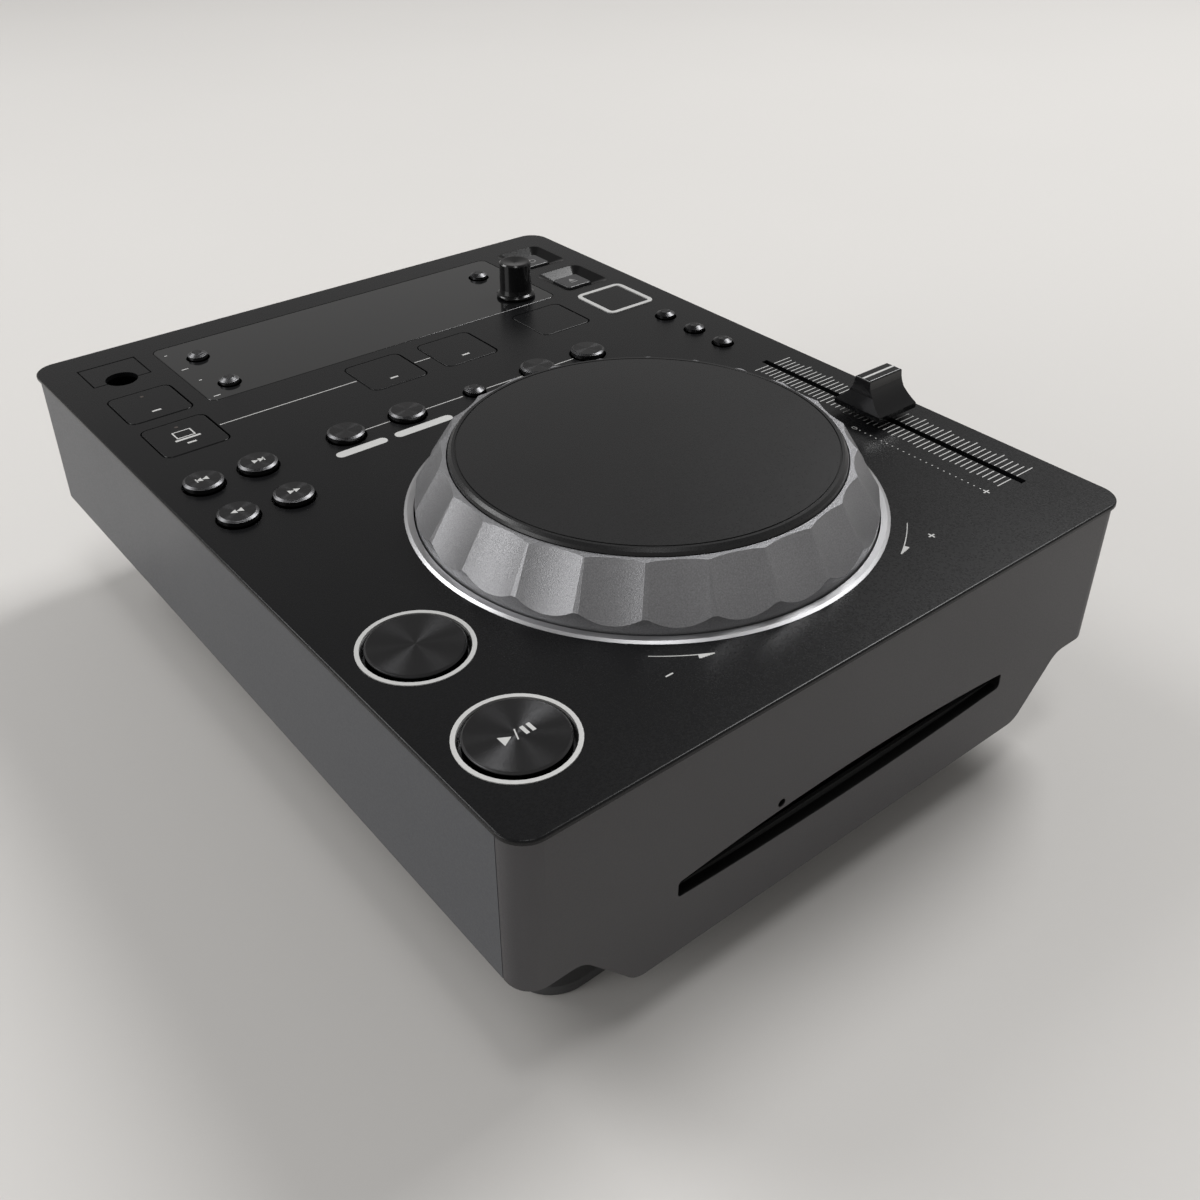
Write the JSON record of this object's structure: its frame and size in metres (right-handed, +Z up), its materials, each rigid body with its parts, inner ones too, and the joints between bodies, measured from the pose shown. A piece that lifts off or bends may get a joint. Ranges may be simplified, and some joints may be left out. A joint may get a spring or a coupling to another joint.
{
  "type": "tabletop disc player",
  "caption": "Tabletop slot-loading disc player for mixing music, with a large jog wheel, tempo slider, display and rows of buttons.",
  "frame": {"origin": "on the table under the centre of the whole player, rear sockets included", "axes": "+X towards the player's right as its user sees it, +Y towards the back with the sockets, +Z up"},
  "size_m": [0.2186, 0.2964, 0.1058],
  "materials": {
    "deck_gloss": "glossy black moulding",
    "case_plastic": "fine matte texture",
    "base_plastic": "matte moulding",
    "foot_rubber": "soft matte",
    "screw_steel": "zinc plated",
    "window_gloss": "clear smoked gloss",
    "screen_glass": "display glass",
    "board_green": "solder-resist",
    "socket_plastic": "black moulding",
    "socket_metal": "plated",
    "socket_steel": "pressed steel",
    "felt": "short black pile",
    "drive_steel": "pressed sheet",
    "motor_steel": "plated can",
    "trim_silver": "polished",
    "inner_plastic": "self-coloured",
    "jog_silver": "bright silver plating",
    "jog_black": "satin black",
    "knob_rubber": "soft black",
    "knob_plastic": "satin black",
    "roller_rubber": "soft",
    "sled_plastic": "moulded",
    "button_satin": "satin dark grey",
    "spun_black": "spun black lacquer"
  },
  "bodies": {
    "case": {"top_panel": "deck_gloss", "front_panel": "case_plastic", "case_shell": "case_plastic", "bottom_case": "base_plastic", "foot_pads": "foot_rubber", "case_screws": "screw_steel", "display_window": "window_gloss", "display_module": "screen_glass", "control_board": "board_green", "main_board": "board_green", "power_supply": "board_green", "mains_inlet": "socket_plastic", "rear_jacks": "socket_metal", "usb_b_port": "socket_steel", "usb_a_socket": "socket_steel", "slot_felts": "felt", "drive_chassis": "drive_steel", "drive_cover": "drive_steel", "drive_motors": "motor_steel", "jog_ring": "trim_silver", "jog_base": "inner_plastic", "button_trims": "trim_silver", "well_bezels": "deck_gloss", "fader_body": "socket_steel", "selector_encoder": "socket_steel"},
    "jog_spin_body": {"jog_wheel": "jog_silver"},
    "jog_press_body": {"jog_top": "jog_black"},
    "track_back_button_press_body": {"track_back_button": "button_satin"},
    "track_next_button_press_body": {"track_next_button": "button_satin"},
    "search_back_button_press_body": {"search_back_button": "button_satin"},
    "search_next_button_press_body": {"search_next_button": "button_satin"},
    "loop_in_button_press_body": {"loop_in_button": "button_satin"},
    "loop_out_button_press_body": {"loop_out_button": "button_satin"},
    "loop_half_button_press_body": {"loop_half_button": "button_satin"},
    "loop_double_button_press_body": {"loop_double_button": "button_satin"},
    "reloop_button_press_body": {"reloop_button": "button_satin"},
    "time_button_press_body": {"time_button": "button_satin"},
    "display_button_press_body": {"display_button": "button_satin"},
    "menu_back_button_press_body": {"menu_back_button": "button_satin"},
    "vinyl_button_press_body": {"vinyl_button": "button_satin"},
    "range_button_press_body": {"range_button": "button_satin"},
    "master_tempo_button_press_body": {"master_tempo_button": "button_satin"},
    "cue_button_press_body": {"cue_button": "spun_black"},
    "play_button_press_body": {"play_button": "spun_black"},
    "lock_key_press_body": {"lock_key": "deck_gloss"},
    "standby_key_press_body": {"standby_key": "button_satin"},
    "eject_key_press_body": {"eject_key": "button_satin"},
    "usb_stop_pad_tilt_body": {"usb_stop_pad": "deck_gloss"},
    "link_pad_tilt_body": {"link_pad": "deck_gloss"},
    "usb_pad_tilt_body": {"usb_pad": "deck_gloss"},
    "disc_pad_tilt_body": {"disc_pad": "deck_gloss"},
    "playlist_pad_tilt_body": {"playlist_pad": "deck_gloss"},
    "selector_press_body": {"selector_plunger": "inner_plastic"},
    "selector_turn_body": {"selector_knob": "knob_rubber"},
    "tempo_slide_body": {"tempo_knob": "knob_plastic"},
    "usb_hatch_open_body": {"usb_hatch": "deck_gloss"},
    "disc_spin_body": {"disc_hub": "inner_plastic"},
    "load_roller_turn_body": {"load_roller": "roller_rubber"},
    "lead_screw_turn_body": {"lead_screw": "screw_steel"},
    "sled_travel_body": {"optical_sled": "sled_plastic"}
  },
  "joints": [
    {"name": "jog_spin", "type": "hinge", "parent": "case", "child": "jog_spin_body", "pos_m": [0.00104, -0.06026, 0.0971], "axis": [0, 0, 1], "continuous": true},
    {"name": "jog_press", "type": "slide", "parent": "jog_spin_body", "child": "jog_press_body", "axis": [0, 0, 1], "range_m": [-0.0005, 0], "stiffness_N_per_m": 6000, "springref_m": 0.0003},
    {"name": "track_back_button_press", "type": "slide", "parent": "case", "child": "track_back_button_press_body", "axis": [0, 0, 1], "range_m": [-0.0006, 0], "stiffness_N_per_m": 500, "springref_m": 0.0008},
    {"name": "track_next_button_press", "type": "slide", "parent": "case", "child": "track_next_button_press_body", "axis": [0, 0, 1], "range_m": [-0.0006, 0], "stiffness_N_per_m": 500, "springref_m": 0.0008},
    {"name": "search_back_button_press", "type": "slide", "parent": "case", "child": "search_back_button_press_body", "axis": [0, 0, 1], "range_m": [-0.0006, 0], "stiffness_N_per_m": 500, "springref_m": 0.0008},
    {"name": "search_next_button_press", "type": "slide", "parent": "case", "child": "search_next_button_press_body", "axis": [0, 0, 1], "range_m": [-0.0006, 0], "stiffness_N_per_m": 500, "springref_m": 0.0008},
    {"name": "loop_in_button_press", "type": "slide", "parent": "case", "child": "loop_in_button_press_body", "axis": [0, 0, 1], "range_m": [-0.0006, 0], "stiffness_N_per_m": 500, "springref_m": 0.0008},
    {"name": "loop_out_button_press", "type": "slide", "parent": "case", "child": "loop_out_button_press_body", "axis": [0, 0, 1], "range_m": [-0.0006, 0], "stiffness_N_per_m": 500, "springref_m": 0.0008},
    {"name": "loop_half_button_press", "type": "slide", "parent": "case", "child": "loop_half_button_press_body", "axis": [0, 0, 1], "range_m": [-0.0006, 0], "stiffness_N_per_m": 500, "springref_m": 0.0008},
    {"name": "loop_double_button_press", "type": "slide", "parent": "case", "child": "loop_double_button_press_body", "axis": [0, 0, 1], "range_m": [-0.0006, 0], "stiffness_N_per_m": 500, "springref_m": 0.0008},
    {"name": "reloop_button_press", "type": "slide", "parent": "case", "child": "reloop_button_press_body", "axis": [0, 0, 1], "range_m": [-0.0006, 0], "stiffness_N_per_m": 500, "springref_m": 0.0008},
    {"name": "time_button_press", "type": "slide", "parent": "case", "child": "time_button_press_body", "axis": [0, 0, 1], "range_m": [-0.0006, 0], "stiffness_N_per_m": 500, "springref_m": 0.0008},
    {"name": "display_button_press", "type": "slide", "parent": "case", "child": "display_button_press_body", "axis": [0, 0, 1], "range_m": [-0.0006, 0], "stiffness_N_per_m": 500, "springref_m": 0.0008},
    {"name": "menu_back_button_press", "type": "slide", "parent": "case", "child": "menu_back_button_press_body", "axis": [0, 0, 1], "range_m": [-0.0006, 0], "stiffness_N_per_m": 500, "springref_m": 0.0008},
    {"name": "vinyl_button_press", "type": "slide", "parent": "case", "child": "vinyl_button_press_body", "axis": [0, 0, 1], "range_m": [-0.0006, 0], "stiffness_N_per_m": 500, "springref_m": 0.0008},
    {"name": "range_button_press", "type": "slide", "parent": "case", "child": "range_button_press_body", "axis": [0, 0, 1], "range_m": [-0.0006, 0], "stiffness_N_per_m": 500, "springref_m": 0.0008},
    {"name": "master_tempo_button_press", "type": "slide", "parent": "case", "child": "master_tempo_button_press_body", "axis": [0, 0, 1], "range_m": [-0.0006, 0], "stiffness_N_per_m": 500, "springref_m": 0.0008},
    {"name": "cue_button_press", "type": "slide", "parent": "case", "child": "cue_button_press_body", "axis": [0, 0, 1], "range_m": [-0.0006, 0], "stiffness_N_per_m": 700, "springref_m": 0.0008},
    {"name": "play_button_press", "type": "slide", "parent": "case", "child": "play_button_press_body", "axis": [0, 0, 1], "range_m": [-0.0006, 0], "stiffness_N_per_m": 700, "springref_m": 0.0008},
    {"name": "lock_key_press", "type": "slide", "parent": "case", "child": "lock_key_press_body", "axis": [0, 0, 1], "range_m": [-0.0006, 0], "stiffness_N_per_m": 500, "springref_m": 0.0008},
    {"name": "standby_key_press", "type": "slide", "parent": "case", "child": "standby_key_press_body", "axis": [0, 0, 1], "range_m": [-0.0006, 0], "stiffness_N_per_m": 500, "springref_m": 0.0008},
    {"name": "eject_key_press", "type": "slide", "parent": "case", "child": "eject_key_press_body", "axis": [0, 0, 1], "range_m": [-0.0006, 0], "stiffness_N_per_m": 500, "springref_m": 0.0008},
    {"name": "usb_stop_pad_tilt", "type": "hinge", "parent": "case", "child": "usb_stop_pad_tilt_body", "pos_m": [-0.08725, 0.0976, 0.0855], "axis": [1, 0, 0], "range_deg": [0, 1.5], "stiffness_Nm_per_rad": 0.06, "springref_deg": -5.73},
    {"name": "link_pad_tilt", "type": "hinge", "parent": "case", "child": "link_pad_tilt_body", "pos_m": [-0.08725, 0.0698, 0.0855], "axis": [1, 0, 0], "range_deg": [0, 1.5], "stiffness_Nm_per_rad": 0.06, "springref_deg": -5.73},
    {"name": "usb_pad_tilt", "type": "hinge", "parent": "case", "child": "usb_pad_tilt_body", "pos_m": [-0.014, 0.0698, 0.0855], "axis": [1, 0, 0], "range_deg": [0, 1.5], "stiffness_Nm_per_rad": 0.06, "springref_deg": -5.73},
    {"name": "disc_pad_tilt", "type": "hinge", "parent": "case", "child": "disc_pad_tilt_body", "pos_m": [0.0155, 0.0698, 0.0855], "axis": [1, 0, 0], "range_deg": [0, 1.5], "stiffness_Nm_per_rad": 0.06, "springref_deg": -5.73},
    {"name": "playlist_pad_tilt", "type": "hinge", "parent": "case", "child": "playlist_pad_tilt_body", "pos_m": [0.0575, 0.0698, 0.0855], "axis": [1, 0, 0], "range_deg": [0, 1.5], "stiffness_Nm_per_rad": 0.06, "springref_deg": -5.73},
    {"name": "selector_press", "type": "slide", "parent": "case", "child": "selector_press_body", "axis": [0, 0, 1], "range_m": [-0.0005, 0], "stiffness_N_per_m": 600, "springref_m": 0.0008},
    {"name": "selector_turn", "type": "hinge", "parent": "selector_press_body", "child": "selector_turn_body", "pos_m": [0.0609, 0.0866, 0.0941], "axis": [0, 0, 1], "continuous": true},
    {"name": "tempo_slide", "type": "slide", "parent": "case", "child": "tempo_slide_body", "axis": [0, 1, 0], "range_m": [-0.054, 0.046]},
    {"name": "usb_hatch_open", "type": "hinge", "parent": "case", "child": "usb_hatch_open_body", "pos_m": [-0.0872, 0.1248, 0.0859], "axis": [-1, 0, 0], "range_deg": [0, 95]},
    {"name": "disc_spin", "type": "hinge", "parent": "case", "child": "disc_spin_body", "pos_m": [0, -0.0705, 0.0391], "axis": [0, 0, 1], "continuous": true},
    {"name": "load_roller_turn", "type": "hinge", "parent": "case", "child": "load_roller_turn_body", "pos_m": [0, -0.134, 0.0362], "axis": [1, 0, 0], "continuous": true},
    {"name": "lead_screw_turn", "type": "hinge", "parent": "case", "child": "lead_screw_turn_body", "pos_m": [-0.028, -0.0245, 0.0311], "axis": [0, 1, 0], "range_deg": [0, 3961]},
    {"name": "sled_travel", "type": "slide", "parent": "case", "child": "sled_travel_body", "axis": [0, 1, 0], "range_m": [0, 0.033]}
  ],
  "couplings": [
    {"joint": "lead_screw_turn", "follows": "sled_travel", "rad_per_m": 2094.4}
  ]
}
